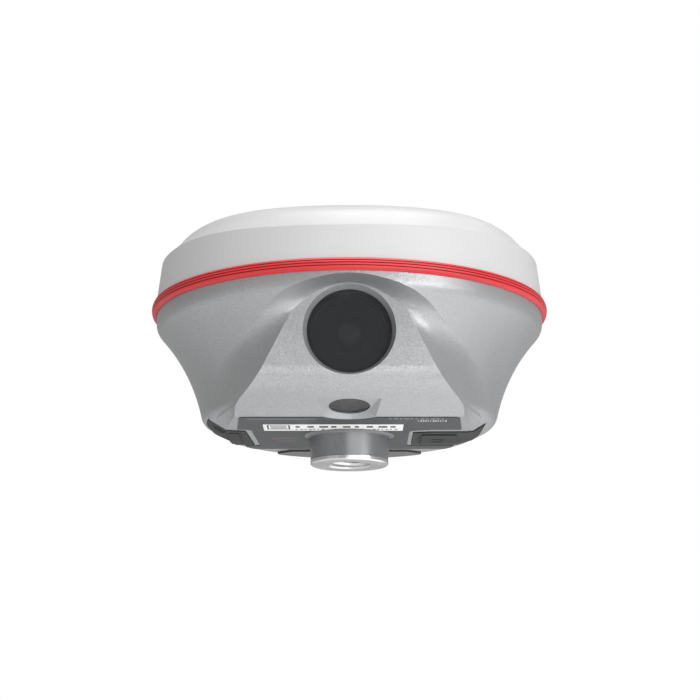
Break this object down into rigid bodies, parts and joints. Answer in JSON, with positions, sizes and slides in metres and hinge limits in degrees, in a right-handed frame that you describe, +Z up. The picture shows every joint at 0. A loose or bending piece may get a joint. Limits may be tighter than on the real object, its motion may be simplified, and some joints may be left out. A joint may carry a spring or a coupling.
{
  "type": "gnss receiver",
  "caption": "Round pole-top satellite survey receiver with white radome, flared silver base, camera windows, rubber port covers and a threaded pole insert.",
  "frame": {"origin": "centre of the lower face of the steel pole insert, on the pole axis", "axes": "+Z up along the pole axis, -Y towards the front camera, +X to the right as seen from the front camera side"},
  "size_m": [0.153, 0.153, 0.0955],
  "materials": {
    "radome": "smooth moulded white, satin",
    "bumper": "ribbed elastomer, satin",
    "seal": "soft seal",
    "silver_paint": "fine metallic silver paint, satin",
    "label": "dark printed plate, satin",
    "sticker": "white film",
    "collar": "dark grey satin coat",
    "steel": "turned stainless steel",
    "black_plastic": "fine matte",
    "dark_glass": "dark window",
    "lens_glass": "coated lens",
    "cover_rubber": "matte rubber",
    "panel_gloss": "dark glossy panel",
    "key_rubber": "matte key",
    "clear": "translucent light pipe",
    "pcb": "green solder mask",
    "chip": "moulded package",
    "shield": "tinned sheet",
    "cell": "cell wrap",
    "tray": "moulded tray",
    "cast": "cast aluminium",
    "brass": "turned brass",
    "zinc": "plated screws",
    "ceramic": "ceramic",
    "membrane": "vent film",
    "cable": "coax jacket",
    "ribbon": "flexible circuit film"
  },
  "bodies": {
    "receiver": {"top_cover": "radome", "bumper_ring": "bumper", "main_seal": "seal", "lower_housing": "silver_paint", "mount_boss": "collar", "thread_insert": "steel", "label_plate": "label", "rating_sticker": "sticker", "front_window": "dark_glass", "front_window_gasket": "seal", "front_lens_barrel": "black_plastic", "front_lens": "lens_glass", "front_camera_holder": "black_plastic", "front_camera_screws": "zinc", "front_camera_board": "pcb", "camera_ribbon": "ribbon", "bottom_window": "dark_glass", "bottom_window_gasket": "seal", "bottom_lens_barrel": "black_plastic", "bottom_lens": "lens_glass", "bottom_camera_board": "pcb", "left_flap_anchor": "cover_rubber", "right_flap_anchor": "cover_rubber", "usb_connector": "steel", "card_slot": "shield", "rear_panel": "panel_gloss", "light_pipes": "clear", "key_board": "pcb", "key_switch": "chip", "battery_cells": "cell", "battery_tray": "tray", "vent_membrane": "membrane", "speaker": "black_plastic", "main_board": "pcb", "board_chips": "chip", "gnss_module": "shield", "radio_module": "shield", "tilt_sensor": "chip", "board_standoffs": "brass", "board_screws": "zinc", "frame_screws": "zinc", "cover_screws": "zinc", "housing_screws": "zinc", "mid_frame": "cast", "plane_spacers": "brass", "antenna_ground_plane": "cast", "lower_antenna_element": "ceramic", "upper_antenna_element": "ceramic", "amplifier_board": "pcb", "feed_pins": "brass", "amplifier_shield": "shield", "strip_antennas": "pcb", "coax_cable": "cable"},
    "left_flap": {"left_port_flap": "cover_rubber"},
    "right_flap": {"right_port_flap": "cover_rubber"},
    "power_key": {"power_button": "key_rubber"}
  },
  "joints": [
    {"name": "left_flap_hinge", "type": "hinge", "parent": "receiver", "child": "left_flap", "pos_m": [-0.0413, 0, 0.01105], "axis": [0, -1, 0], "range_deg": [0, 100]},
    {"name": "right_flap_hinge", "type": "hinge", "parent": "receiver", "child": "right_flap", "pos_m": [0.02655, 0, 0.01105], "axis": [0, 1, 0], "range_deg": [0, 100]},
    {"name": "power_button_press", "type": "slide", "parent": "receiver", "child": "power_key", "axis": [0, -1, 0], "range_m": [0, 0.0006]}
  ]
}
